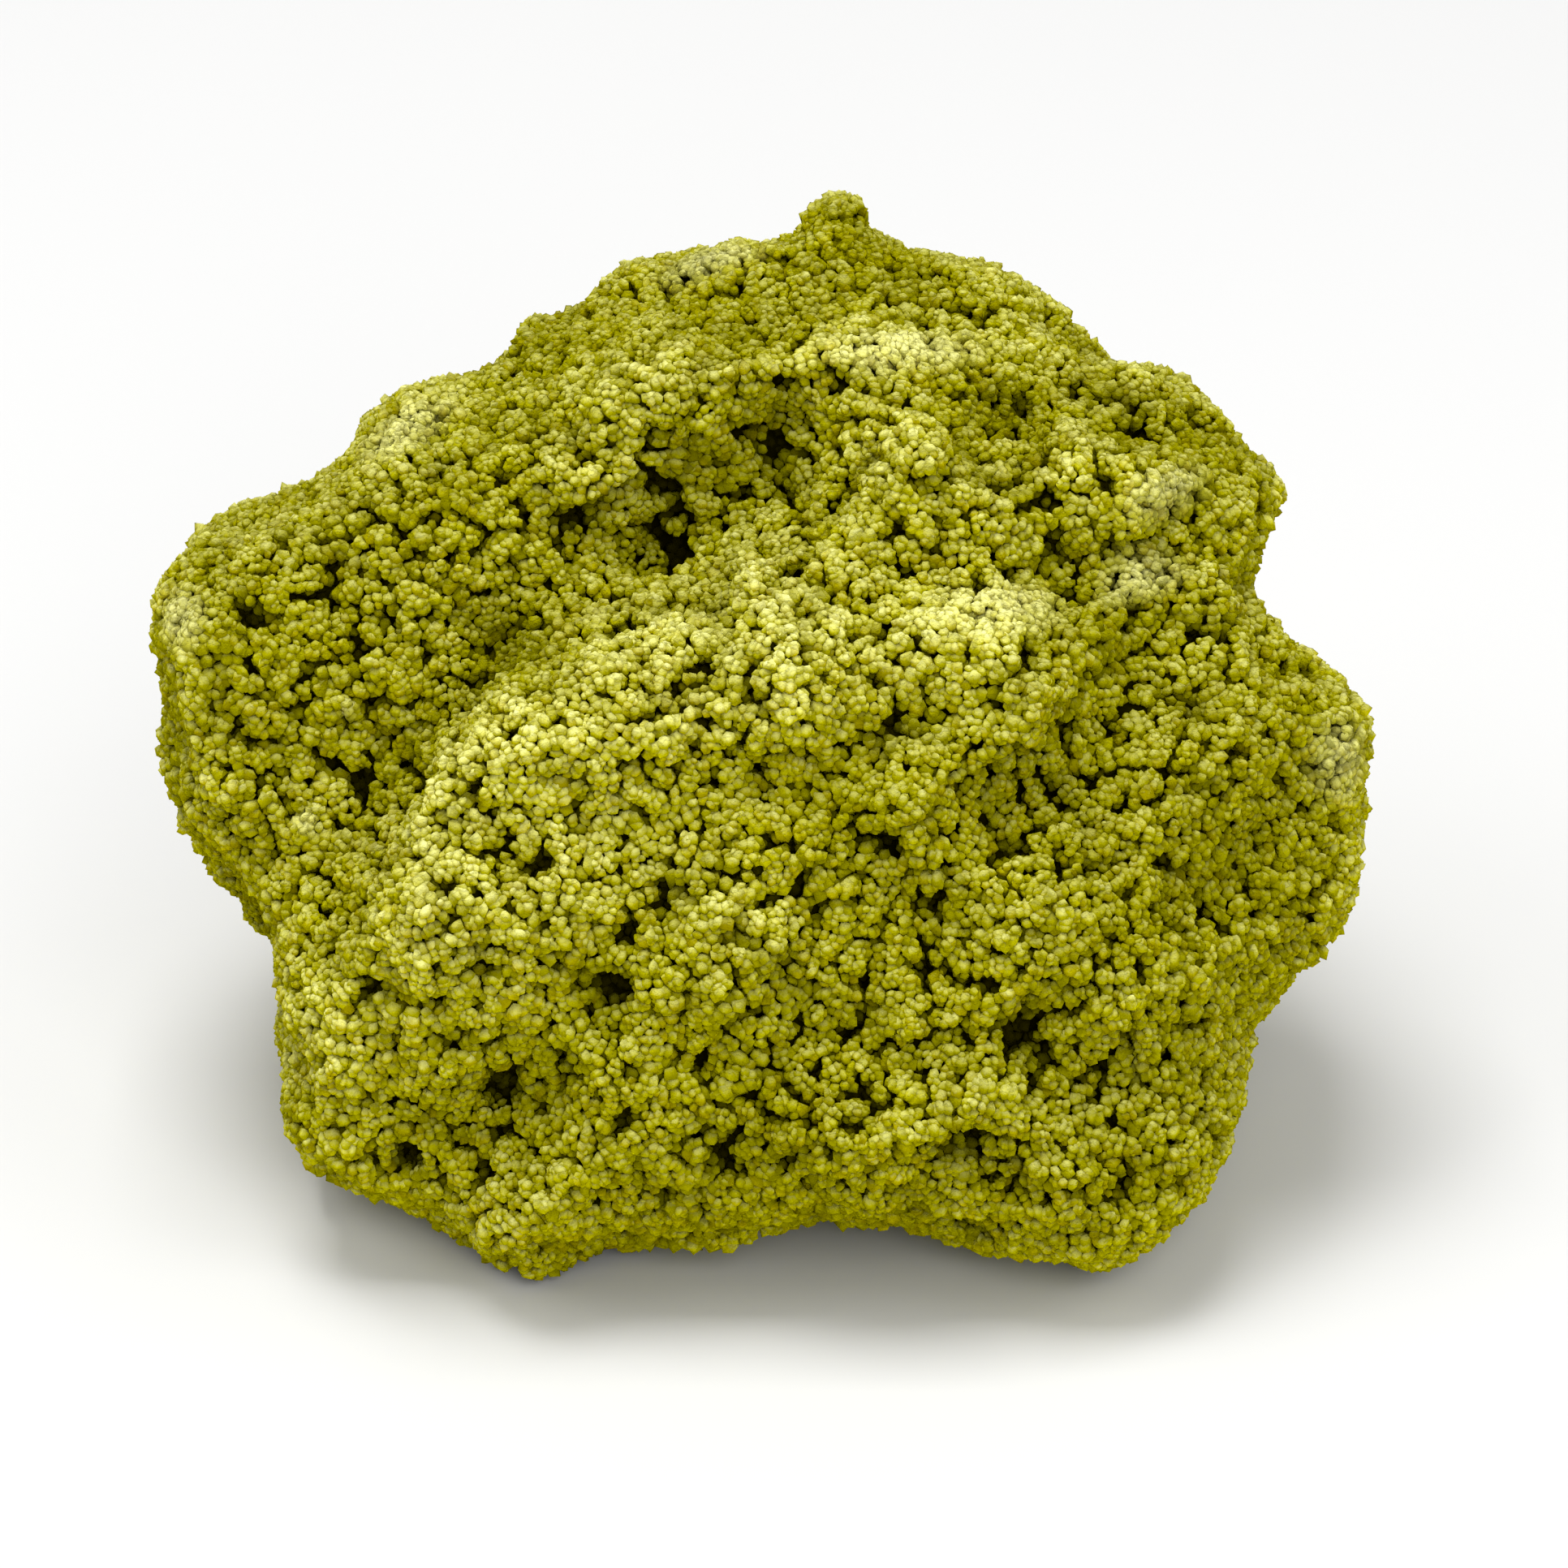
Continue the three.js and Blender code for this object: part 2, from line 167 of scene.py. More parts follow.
# Places painted paler or darker, partly dry and damp crust and partly painted light and shade: how
# much, and then ovals as above.
PAINTED_LIGHT_AND_WEATHER_OVALS = [
    (1.3, [(-4.9, 6.5, 7, 4.2, 12), (3.5, 6.0, 7, 4.6, 0), (11.0, 6.6, 6, 3.4, 0),
           (-17.0, -0.5, 6, 3.2, 40), (0.0, 1.5, 7, 2.6, 0), (-10.1, 15.3, 2.5, 2.5, 0)]),
    (1.1, [(-12.0, -8.0, 6, 6, 40), (-19.0, -7.5, 4.5, 6, 0), (-20.5, -13.0, 4, 4, 0),
           (-25.7, -4.6, 2.5, 3, 0), (-1.0, -10.5, 3.5, 2.5, 0), (-27.0, -18.5, 5, 4, 0)]),
    (0.9, [(-5.2, 0.6, 3.5, 3.5, 0), (-9.5, -4.2, 4, 4, 0)]),
    (0.6, [(18.4, 15.8, 6, 4, 0), (7.0, 24.3, 5, 2, 0), (5.4, 17.5, 3, 3, 0),
           (0.5, 12.5, 4, 2.4, 0), (-20.0, -31.0, 3, 3, 0), (-18.5, 8.6, 3, 2.4, 0),
           (-15.5, -16.5, 3, 3, 0)]),
    (-0.5, [(-2, -28, 16, 4, 0), (11.0, 22.5, 3, 3, 0), (26.5, -5.0, 7, 8, 0)]),
    (-1.0, [(7, 31, 9, 3, 0), (34.8, 1.4, 5, 4, 0), (-4.5, 31.0, 4, 2, 0), (32.8, -9.0, 4, 5, 0),
            (23.5, -11.5, 4, 3, 0), (6.5, -4.5, 4, 2.6, 0), (0, -23.6, 3, 2.5, 0),
            (-10.1, -15.8, 2, 2.2, 0)]),
    (-1.3, [(-34.5, 8.0, 6, 8, 0), (23.6, -28.3, 6, 4, 20), (-19.0, 15.8, 6, 2.8, 35),
            (5.2, 34.5, 4, 3, 0), (-3.0, 25.6, 5.5, 2.6, 0), (-14.0, 25.8, 5, 2.4, 15),
            (-31.0, -24.0, 2.5, 2.5, 0), (15.8, 20.5, 2.5, 2, 0), (27.0, 18.5, 7, 3.8, 0),
            (-15.3, 5.2, 2.5, 1.6, 0), (20.2, 6.8, 4, 2.6, 20), (26.2, -21, 2, 2.5, 0)]),
]


PAINTED_LIGHT_AND_WEATHER_RANGE = -1.5, 1.8
CREST_PAINTED_LIGHT_AND_WEATHER = 0.5  # how much paler the block's crests are painted, and darker its hollows: partly dry crust, partly painted light and shade

# Broad powder: the size of its patches, the noise's gain and threshold, and the most it can be.
POWDER_SIZE, POWDER_GAIN, POWDER_START, POWDER_MOST = 6.0, 2.2, 0.9, 0.25

FACE_START, FACE_SLOPE = 0.5, 1.5


def face_place(points, normals):
    """Each point's u and v on the main face, and how far it belongs to that face: 1 where the skin
    looks towards w, falling to 0 where it looks away."""
    away = points - GIRDLE_CENTRE
    facing = np.clip(FACE_START + FACE_SLOPE * (normals @ W), 0, 1)
    return away @ U, away @ V, facing


def ovals(u, v, forms, flatness=1):
    """The highest of some oval bumps, each exp(-r^(2 flatness)) of its stretched distance r."""
    best = np.zeros(len(u))
    for at_u, at_v, length, width, turn in forms:
        cos, sin = math.cos(math.radians(turn)), math.sin(math.radians(turn))
        along = ((u - at_u) * cos + (v - at_v) * sin) / length
        across = ((v - at_v) * cos - (u - at_u) * sin) / width
        best = np.maximum(best, np.exp(-((along * along + across * across) ** flatness)))
    return best


# ------------------------------------------------------------------ the crust's relief

# Lumps and the clusters on them: cell size, reach of a cap as a share of it, and depth.
LUMP_SIZE, LUMP_REACH, LUMP_DEPTH = 3.4, 0.9, 0.85
CLUSTER_SIZE, CLUSTER_REACH, CLUSTER_DEPTH = 1.22, 0.78, 1.2

# Clefts between lumps and gaps between clusters: depth, and the distances they start and end at.
CLEFT_DEPTH, CLEFT_EDGES = 0.25, (0.74, 0.90)
GAP_DEPTH, GAP_EDGES = 1.7, (0.57, 0.76)

# Uneven rise and fall between neighbouring beads.
CRUMPLE, CRUMPLE_SIZE = 0.24, 1.15

# The cells are bent by a broad noise and a fine one, so that they don't look like cells.
BROAD_BEND, BROAD_BEND_SIZE = 0.55, 2.0
FINE_BEND, FINE_BEND_SIZE = 0.2, 0.9

STRENGTH_SWING, STRENGTH_SIZE = 0.45, 9.0  # how much the relief differs from place to place
POWDER_CALM = 0.8  # how much of the relief powder fills
DEEPEST = 2.6


def dust_at(points, normals):
    """How powdery the skin is, from 0 to 1: the placed ovals, or broad noise above a threshold."""
    u, v, facing = face_place(points, normals)
    placed = facing * ovals(u, v, DUSTY)
    patches = noise(points, POWDER_SIZE, seed=41)[:, 0]
    broad = np.clip(patches * POWDER_GAIN - POWDER_START, 0, POWDER_MOST)
    return np.maximum(placed, broad)


def swollen(points, normals):
    """The skin moved along its normals by the placed swells, each exp(-r^4) of its own stretched
    distance, and then sideways into the top knob: out by exp(-r^4) of the distance to its middle,
    and in again at its neck."""
    u, v, facing = face_place(points, normals)
    rise = np.zeros(len(points))
    for at_u, at_v, length, width, turn, height in SWELLS:
        rise += facing * height * ovals(u, v, [(at_u, at_v, length, width, turn)], flatness=2)
    away = np.linalg.norm(points - TOP_KNOB, axis=1) / KNOB_WIDTH
    neck = np.exp(-(((away - NECK_PLACE) / NECK_WIDTH) ** 2))
    aside = KNOB_RISE * np.exp(-(away**4)) - NECK_DEPTH * neck
    return points + rise[:, None] * normals + aside[:, None] * normals * KNOB_SIDEWAYS


def painted_light_and_weather_at(points, normals, crest):
    """How much paler or darker the crust is painted, within the range above: partly dry and damp
    crust, partly painted light and shade. Paler on the block's crests and darker in its hollows,
    and paler or darker in the placed ovals by their own amounts."""
    u, v, facing = face_place(points, normals)
    found = CREST_PAINTED_LIGHT_AND_WEATHER * crest
    for amount, forms in PAINTED_LIGHT_AND_WEATHER_OVALS:
        found += facing * amount * ovals(u, v, forms)
    return np.clip(found, *PAINTED_LIGHT_AND_WEATHER_RANGE)


def ramp(value, low, high):
    """0 below low and 1 above high, and 3t^2 - 2t^3 between them."""
    t = np.clip((value - low) / (high - low), 0, 1)
    return t * t * (3 - 2 * t)


def cap(away, reach):
    """sqrt(1 - r^2) of the distance r as a share of the reach, and 0 beyond it."""
    return np.sqrt(np.clip(1 - (away / reach) ** 2, 0, 1))


def depth_at(points, normals):
    """How far the crust lies below the block's skin, in millimetres, and how high each point
    stands in its cluster, from 0 to 1. Each lump and each cluster is a cap round its middle, so
    they meet in creases. Where several meet, and every middle is far away, a cleft or a gap opens.
    Each placed hole is exp(-r^4). The whole is held to DEEPEST by a hyperbolic tangent."""
    bent = points + BROAD_BEND * noise(points, BROAD_BEND_SIZE, seed=5)
    bent = bent + FINE_BEND * noise(points, FINE_BEND_SIZE, seed=6)
    strength = 1 + STRENGTH_SWING * noise(points, STRENGTH_SIZE, seed=17)[:, 0]
    calm = 1 - POWDER_CALM * dust_at(points, normals)

    lump = nearest_spot(bent, LUMP_SIZE, seed=3)
    cluster = nearest_spot(bent, CLUSTER_SIZE, seed=8)
    knob = cap(cluster, CLUSTER_REACH)
    depth = LUMP_DEPTH * calm * strength * (1 - cap(lump, LUMP_REACH))
    depth += CLEFT_DEPTH * calm * strength * ramp(lump, *CLEFT_EDGES)
    depth += CLUSTER_DEPTH * calm * (1 - knob)
    depth += GAP_DEPTH * calm * strength * ramp(cluster, *GAP_EDGES)
    depth += CRUMPLE * calm * (1 + noise(points, CRUMPLE_SIZE, seed=77)[:, 0])

    u, v, facing = face_place(bent, normals)
    for at_u, at_v, radius, deep in HOLES:
        away = ((u - at_u) ** 2 + (v - at_v) ** 2) / radius**2
        depth += facing * deep * np.exp(-away * away)
    return DEEPEST * np.tanh(depth / DEEPEST), knob


# ------------------------------------------------------------------ the body

FLOOR_CONTACT = 0.02  # skin lower than this stands on the floor
BALL_CENTRE = np.array([0.3, 3.8, 22.0])
BALL_RADIUS = 70.0
BODY_GRID = 54
BODY_SINK = 0.55  # how far the body lies below the lowest crust round it
EASING = 3
BROAD_EASING = 70
CREST_HEIGHT = 1.2
MAP_MARGIN = 0.02
SAME_PLACE = 6  # decimals that two corners must share to be one


def cube_sphere(count):
    """Directions over a sphere: each face of a cube is a grid of two angles, a and b, and gives
    (1, tan a, tan b) scaled to length 1. Shared edges are kept once. Returns the directions, the
    four-cornered faces, and each corner's place in a 3 by 2 atlas of the six faces."""
    angle = np.linspace(-math.pi / 4, math.pi / 4, count + 1)
    a, b = (np.tan(g).ravel() for g in np.meshgrid(angle, angle, indexing="ij"))
    one = np.ones_like(a)
    i, j = (g.ravel() for g in np.meshgrid(np.arange(count), np.arange(count), indexing="ij"))
    corners = np.stack([i, i + 1, i + 1, i], 1), np.stack([j, j, j + 1, j + 1], 1)
    points, faces, maps = [], [], []
    for side, (axis, sign) in enumerate(itertools.product(range(3), (1, -1))):
        grid = np.roll(np.stack([sign * one, sign * a, b], 1), axis, axis=1)
        points.append(grid)
        faces.append(corners[0] * (count + 1) + corners[1] + side * len(grid))
        place = MAP_MARGIN + (1 - 2 * MAP_MARGIN) * np.stack(corners, 2) / count
        maps.append((place + [side % 3, side // 3]) / [3, 2])
    points = unit(np.concatenate(points))
    _, kept, again = np.unique(
        points.round(SAME_PLACE), axis=0, return_index=True, return_inverse=True
    )
    return points[kept], again.ravel()[np.concatenate(faces)], np.concatenate(maps)


def make_mesh(name, points, faces):
    """A smooth-shaded mesh from points in millimetres and faces that all have as many corners."""
    mesh = bpy.data.meshes.new(name)
    mesh.vertices.add(len(points))
    mesh.vertices.foreach_set("co", (points * MM).astype(np.float32).ravel())
    mesh.loops.add(faces.size)
    mesh.loops.foreach_set("vertex_index", faces.astype(np.int32).ravel())
    mesh.polygons.add(len(faces))
    starts = np.arange(0, faces.size, faces.shape[1], dtype=np.int32)
    mesh.polygons.foreach_set("loop_start", starts)
    mesh.polygons.foreach_set("use_smooth", np.ones(len(faces), bool))
    mesh.update(calc_edges=True)
    mesh.validate()
    return mesh


def vertex_normals(points, faces):
    """Each vertex's normal: the sum of its faces' area normals, scaled to length 1."""
    a, b, c, d = (points[faces[:, k]] for k in range(4))
    area = np.cross(c - a, d - b)
    total = np.zeros_like(points)
    for k in range(4):
        np.add.at(total, faces[:, k], area)
    return unit(total)


def wrapped(directions, faces, centre, radius):
    """The directions, as a ball round centre, drawn straight in until they meet the solid."""
    mesh = make_mesh("ball", centre + radius * directions, faces)
    ball = bpy.data.objects.new("ball", mesh)
    bpy.context.scene.collection.objects.link(ball)
    wrap = ball.modifiers.new("wrap", "SHRINKWRAP")
    wrap.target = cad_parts[NODE]
    wrap.wrap_method = "PROJECT"
    wrap.use_negative_direction = True
    wrap.use_positive_direction = False
    evaluated = ball.evaluated_get(bpy.context.evaluated_depsgraph_get())
    found = np.empty(len(directions) * 3, np.float32)
    evaluated.data.vertices.foreach_get("co", found)
    bpy.data.objects.remove(ball)
    bpy.data.meshes.remove(mesh)
    return found.reshape(-1, 3).astype(float) / MM


def eased(points, faces, rounds):
    """The points drawn half way to the mean of their neighbours, some times over. Those that stand
    on the floor stay there."""
    one = faces.ravel()
    two = np.roll(faces, 1, axis=1).ravel()
    number = np.bincount(one, minlength=len(points)) + np.bincount(two, minlength=len(points))
    standing = points[:, 2] < FLOOR_CONTACT
    for _ in range(rounds):
        mean = np.stack([
            np.bincount(one, points[two, k], len(points))
            + np.bincount(two, points[one, k], len(points))
            for k in range(3)
        ], 1) / number[:, None]
        points = np.where(standing[:, None], points, 0.5 * points + 0.5 * mean)
    return points


def spread_out(values, faces, pick):
    """Each corner takes the largest, or the smallest, of the values round its faces."""
    per_face = pick.reduce(values[faces], axis=1)
    spread = values.copy()
    for k in range(faces.shape[1]):
        pick.at(spread, faces[:, k], per_face)
    return spread


directions, body_faces, body_map = cube_sphere(BODY_GRID)
skin = eased(wrapped(directions, body_faces, BALL_CENTRE, BALL_RADIUS), body_faces, EASING)
skin = swollen(skin, vertex_normals(skin, body_faces))
skin_normals = vertex_normals(skin, body_faces)
broad_skin = eased(skin, body_faces, BROAD_EASING)
skin_crest = np.einsum("nk,nk->n", skin - broad_skin, skin_normals) / CREST_HEIGHT

# ------------------------------------------------------------------ the beads

BEAD_SEED = 23
CANDIDATES = 680000
BEAD_SPACING = 0.37
BEAD_WIDTH = 1.15  # half width, as a share of the spacing
BEAD_SINK = 0.55  # how far a bead's middle lies below the crust, as a share of its half width
BEAD_INSET = 0.34  # the crust lies this far below the skin, so that the beads' tips reach it
NUDGE = 0.06  # a bead takes the depth of a spot this far away, so that steep walls fill up
UNEVEN = 0.06  # how much beads stand out or lie back at random
SLOPE_STEP = 0.12
STEEPEST = 2.2
NEARLY_UPRIGHT = 0.8

# The flats that the block stands on carry no beads: skin lower than this that looks down.
FLAT_HEIGHT, FLAT_FACING = 0.3, -0.5

# Spacing: its random spread, its patches and their size, and how much closer it is under powder.
SIZE_SPREAD, SIZE_PATCHES, PATCH_SIZE, POWDER_CLOSER = 0.16, 0.16, 1.8, 0.22

# Out of sight the beads are coarser: how much underneath, at the back and deep in a gap.
BELOW_COARSER, BEHIND_COARSER, DEEP_COARSER = 0.7, 0.5, 0.4
BELOW_FROM, BEHIND_FROM, TURN_SPAN = 0.6, 0.3, 0.4
DEEP_FROM, DEEP_SPAN = 1.7, 0.8

# A bead's own form: corners in its ring, their latitude, and its tip and low point.
RING, RING_LATITUDE, TIP, LOW_POINT = 6, math.radians(24), 0.88, -1.2
CAP_DISC = 0.33, 0.31  # middle and radius of its map's discs
UNDER_DISC = 0.82, 0.15

# How beads differ: lean, length, height, each corner, and the width and height of powdery ones.
LEAN_SPREAD, STRETCH, ROUGH = 0.26, 0.22, 0.12
SIZE_LIMITS, BACK_LIMITS = (-2, 2), (-1.5, 2.5)  # of the random numbers for size and for place
SHORTEST, TALLER = 1.1, 0.25
POWDER_WIDER, POWDER_FLATTER = 0.25, 0.35


def sprinkled(faces, points, values, count, rng):
    """Places spread evenly over four-cornered faces: a face is drawn by its area, and a place in
    it by blending its corners with two random numbers s and t. Returns the values there."""
    a, b, c, d = (points[faces[:, k]] for k in range(4))
    area = np.linalg.norm(np.cross(c - a, d - b), axis=1)
    drawn = faces[rng.choice(len(faces), count, p=area / area.sum())]
    s, t = rng.random((2, count, 1))
    shares = (1 - s) * (1 - t), s * (1 - t), s * t, (1 - s) * t
    return sum(share * values[drawn[:, k]] for k, share in enumerate(shares))


def thinned(points, spacing):
    """The places kept when each, in turn, clears those after it that lie within its spacing."""
    tree = KDTree(len(points))
    for number, point in enumerate(points):
        tree.insert(point, number)
    tree.balance()
    kept = np.ones(len(points), bool)
    for number, (point, reach) in enumerate(zip(points, spacing, strict=True)):
        if kept[number]:
            for _, other, _ in tree.find_range(point, reach):
                if other > number:
                    kept[other] = False
    return kept


def crust_normals(points, normals):
    """The crust's own normals: the skin's normal leans by the slope of the depth along two
    directions of the skin, each from a step either way."""
    leaning = np.abs(normals[:, 2:]) < NEARLY_UPRIGHT
    side = unit(np.cross(normals, np.where(leaning, [[0.0, 0.0, 1.0]], [[1.0, 0.0, 0.0]])))
    lean = np.zeros_like(points)
    for along in (side, np.cross(normals, side)):
        rise = depth_at(points + SLOPE_STEP * along, normals)[0]
        fall = depth_at(points - SLOPE_STEP * along, normals)[0]
        lean += ((rise - fall) / (2 * SLOPE_STEP))[:, None] * along
    steep = np.linalg.norm(lean, axis=1, keepdims=True)
    return unit(normals + lean * np.minimum(1, STEEPEST / np.maximum(steep, 1e-9)))


def bead_form():
    """A closed dome: an apex, a ring of corners at latitude e, (cos e cos a, cos e sin a, sin e),
    and a low point underneath. Returns the corners, the triangles, and each triangle corner's
    place in a unit square: the dome and its underside as two discs."""
    turn = np.arange(RING) * 2 * math.pi / RING
    out, up = math.cos(RING_LATITUDE), math.sin(RING_LATITUDE)
    circle = np.stack([out * np.cos(turn), out * np.sin(turn), 0 * turn + up], 1)
    corners = np.concatenate([[[0, 0, TIP]], circle, [[0, 0, LOW_POINT]]])
    k = np.arange(RING)
    after = (k + 1) % RING
    top = np.stack([0 * k, 1 + k, 1 + after], 1)
    under = np.stack([0 * k + RING + 1, 1 + after, 1 + k], 1)
    disc = corners[:, :2] / out
    places = [
        (middle + radius * disc)[part]
        for (middle, radius), part in ((CAP_DISC, top), (UNDER_DISC, under))
    ]
    return corners, np.concatenate([top, under]), np.concatenate(places).reshape(-1, 2)


def turned_away(facing, start):
    """0 where the facing is above -start, rising to 1 over TURN_SPAN below it."""
    return np.clip(-start - facing, 0, TURN_SPAN) / TURN_SPAN


rng = np.random.default_rng(BEAD_SEED)
carried = np.column_stack([skin, skin_normals, skin_crest])
found = sprinkled(body_faces, skin, carried, CANDIDATES, rng)
places, upright, crest = found[:, :3], unit(found[:, 3:6]), found[:, 6]
clear = (places[:, 2] > FLAT_HEIGHT) | (upright[:, 2] > FLAT_FACING)
places, upright, crest = places[clear], upright[clear], crest[clear]
nudge = NUDGE * rng.standard_normal(places.shape)
depth, knob = depth_at(places + nudge, upright)
dust = dust_at(places, upright)
seats = places - (depth + BEAD_INSET)[:, None] * upright

below = BELOW_COARSER * turned_away(upright[:, 2], BELOW_FROM)
behind = BEHIND_COARSER * turned_away(upright @ W, BEHIND_FROM)
deep = DEEP_COARSER * np.clip(depth - DEEP_FROM, 0, DEEP_SPAN)
size = np.exp(SIZE_SPREAD * rng.standard_normal(len(places)).clip(*SIZE_LIMITS))
size *= 1 + SIZE_PATCHES * noise(places, PATCH_SIZE, seed=61)[:, 0]
size *= 1 - POWDER_CLOSER * dust
spacing = BEAD_SPACING * size * (1 + np.maximum(below, behind) + deep)
kept = thinned(seats, spacing)
places, upright, crest, depth, knob, dust, seats, spacing = (
    values[kept] for values in (places, upright, crest, depth, knob, dust, seats, spacing)
)
# Each bead's painted paleness or darkness: partly dry and damp crust, partly painted light and
# shade.
painted_light_and_weather = painted_light_and_weather_at(places, upright, crest)

form, form_faces, form_map = bead_form()
beads = len(places)
axis = unit(crust_normals(places, upright) + LEAN_SPREAD * rng.standard_normal((beads, 3)))
side = unit(np.cross(axis, rng.standard_normal((beads, 3))))
across = np.cross(axis, side)
half = BEAD_WIDTH * spacing * (1 + POWDER_WIDER * dust)
back = UNEVEN * rng.standard_normal(beads).clip(*BACK_LIMITS)
stretch = 1 + STRETCH * rng.random(beads)
tall = (1 - POWDER_FLATTER * dust) * (SHORTEST + TALLER * rng.random(beads))
local = form[None] * (1 + ROUGH * rng.uniform(-1, 1, (beads, len(form), 1)))
corners = (
    (seats - (BEAD_SINK * half + back)[:, None] * axis)[:, None]
    + local[..., 0:1] * (half * stretch)[:, None, None] * side[:, None]
    + local[..., 1:2] * (half / stretch)[:, None, None] * across[:, None]
    + local[..., 2:3] * (half * tall)[:, None, None] * axis[:, None]
)
low, high = (np.array(corner) / MM for corner in cad_box)
corners = np.clip(corners, low, high)
tone = rng.random(beads)


def dressed(name, mesh, finish, values, flat):
    """The mesh as a piece of the object: its numbers for the finish, its map, and its place."""
    for key, found in values.items():
        mesh.attributes.new(key, "FLOAT", "POINT").data.foreach_set(
            "value", np.ascontiguousarray(found, np.float32)
        )
    layer = mesh.uv_layers.new(name="OFBake", do_init=False)
    layer.uv.foreach_set("vector", np.ascontiguousarray(flat, np.float32).ravel())
    mesh.materials.append(finish)
    piece = bpy.data.objects.new(name, mesh)
    bpy.context.scene.collection.objects.link(piece)
    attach(piece, "root")
    return piece


# ------------------------------------------------------------------ finishes


class Signal:
    """A shader socket that can be added to, taken from and multiplied, as a number can."""

    def __init__(self, recipe, socket):
        self.recipe, self.socket = recipe, socket

    def worked(self, operation, first, second):
        settings = {"operation": operation}
        return self.recipe.node("ShaderNodeMath", settings, {0: first, 1: second}, 0)

    def __add__(self, other):
        return self.worked("ADD", self, other)

    def __sub__(self, other):
        return self.worked("SUBTRACT", self, other)

    def __rsub__(self, other):
        return self.worked("SUBTRACT", other, self)

    def __mul__(self, other):
        return self.worked("MULTIPLY", self, other)

    def held(self):
        """Kept between 0 and 1."""
        return self.recipe.node("ShaderNodeClamp", {}, {"Value": self}, 0)

    __radd__ = __add__
    __rmul__ = __mul__


class Recipe:
    """One finish, made of nodes."""

    def __init__(self, name):
        self.material = bpy.data.materials.new(name)
        self.material.use_nodes = True
        self.tree = self.material.node_tree
        self.tree.nodes.clear()

    def node(self, kind, settings, sockets, output=None):
        """A node of one kind, with its settings, then its sockets' numbers or links. With output,
        that output as a signal."""
        made = self.tree.nodes.new(kind)
        for key, value in settings.items():
            setattr(made, key, value)
        for key, value in sockets.items():
            if isinstance(value, Signal):
                self.tree.links.new(value.socket, made.inputs[key])
            else:
                made.inputs[key].default_value = value
        return made if output is None else Signal(self, made.outputs[output])

    def number(self, key):
        """A number that the mesh carries at its corners."""
        return self.node("ShaderNodeAttribute", {"attribute_name": key}, {}, "Fac")

    def speckle(self, width, detail=2.0):
        """Noise from 0 to 1 with features about so many millimetres wide."""
        place = self.node("ShaderNodeTexCoord", {}, {}, "Object")
        sockets = {"Vector": place, "Scale": 1 / (width * MM), "Detail": detail, "Roughness": 0.6}
        return self.node("ShaderNodeTexNoise", {}, sockets, "Fac")

    def upward(self):
        """How far the surface looks up: 1 on top, 0.5 on a wall and 0 underneath."""
        normal = self.node("ShaderNodeNewGeometry", {}, {}, "Normal")
        settings = {"operation": "DOT_PRODUCT"}
        rise = self.node("ShaderNodeVectorMath", settings, {0: normal, 1: (0, 0, 1)}, "Value")
        return rise * 0.5 + 0.5

    def scaled(self, tint, share):
        """A colour, brighter or darker by a share."""
        settings = {"operation": "SCALE"}
        return self.node("ShaderNodeVectorMath", settings, {0: tint, "Scale": share}, "Vector")

    def blend(self, share, one, two):
        """Colour one, turning to colour two as the share goes from 0 to 1."""
        return self.node("ShaderNodeMix", {"data_type": "RGBA"}, {0: share, 6: one, 7: two}, 2)

    def finished(self, sockets):
        """The material, with a Principled surface of these sockets."""
        surface = self.node("ShaderNodeBsdfPrincipled", {}, sockets, 0)
        self.node("ShaderNodeOutputMaterial", {}, {"Surface": surface})
        return self.material


def weighed(numbers, weights):
    """The numbers, each times its own weight, added up."""
    first, *others = (number * weight for number, weight in zip(numbers, weights, strict=True))
    return sum(others, first)


def colour(red, green, blue):
    return (red, green, blue, 1.0)


# The colour of the painted shade deep in the gaps.
PAINTED_GAP_SHADE = colour(0.03, 0.025, 0.0)
OCHRE = colour(0.56, 0.455, 0.0)
BODY = colour(0.55, 0.515, 0.0)
# Brighter yellow, a painted top light on what looks up and on the tips.
PAINTED_TOP_LIGHT = colour(0.68, 0.655, 0.003)
# Pale tips: partly pale wear and powder, partly a painted highlight on what looks up.
PALE = colour(0.73, 0.725, 0.31)
DUST = colour(0.82, 0.80, 0.30)
FLOOR_TINT = colour(0.78, 0.78, 0.775)

# How much each of these gives a bead its painted top light of brighter yellow, or pales it, partly
# with pale wear and partly with painted highlight: looking up, crumb, grain, height in the bead
# and height in its cluster.
# The total has to pass the start.
PAINTED_TOP_LIGHT_WEIGHTS, PAINTED_TOP_LIGHT_START, PAINTED_TOP_LIGHT_MOTTLE = (0.8, 0.2, 0.5, 0.7, 0.5), 1.4, 0.6
PALE_WEIGHTS, PALE_START, PALE_PAINTED_LIGHT_AND_WEATHER = (1.3, 0.2, 0.8, 0.6, 1.3), 2.85, 0.2

# Powder counts from a start, and gathers on what looks up and on crumbs.
DUST_GAIN, DUST_START = 1.35, 0.35
SETTLED_UPWARD, SETTLED_CRUMB, SETTLED_START = 0.7, 0.5, 0.15

CLEAR_OF_SHADE_TOP, PAINTED_SHADE_FALL, PAINTED_SHADE_MOTTLE = 1.12, 1.5, 0.3  # painted shade in the gaps: the colour darkens with depth
OCHRE_GAIN, OCHRE_START = 2, 1.2  # of the bead's own tone
MOTTLE_WIDTH, CRUMB_WIDTH, GRAIN_WIDTH = 2.4, 0.45, 0.22  # millimetres
CRUMB_GAIN, CRUMB_START = 2, 0.4

# The whole is painted brighter or darker by the placed ovals and crests, partly dry and damp crust
# and partly painted light and shade, and darker towards the foot of each bead, a painted shade
# where beads meet.
PAINTED_LIGHT_AND_WEATHER_GAIN, HEIGHT_GAIN, FOOT_BRIGHTNESS = 0.25, 0.78, 0.405
BUMP_HEIGHT, BUMP_CRUMB, BUMP_GRAIN = 0.24, 0.6, 1.25
EARTHY_ROUGHNESS, GRAIN_GLOSS = 0.98, 0.16


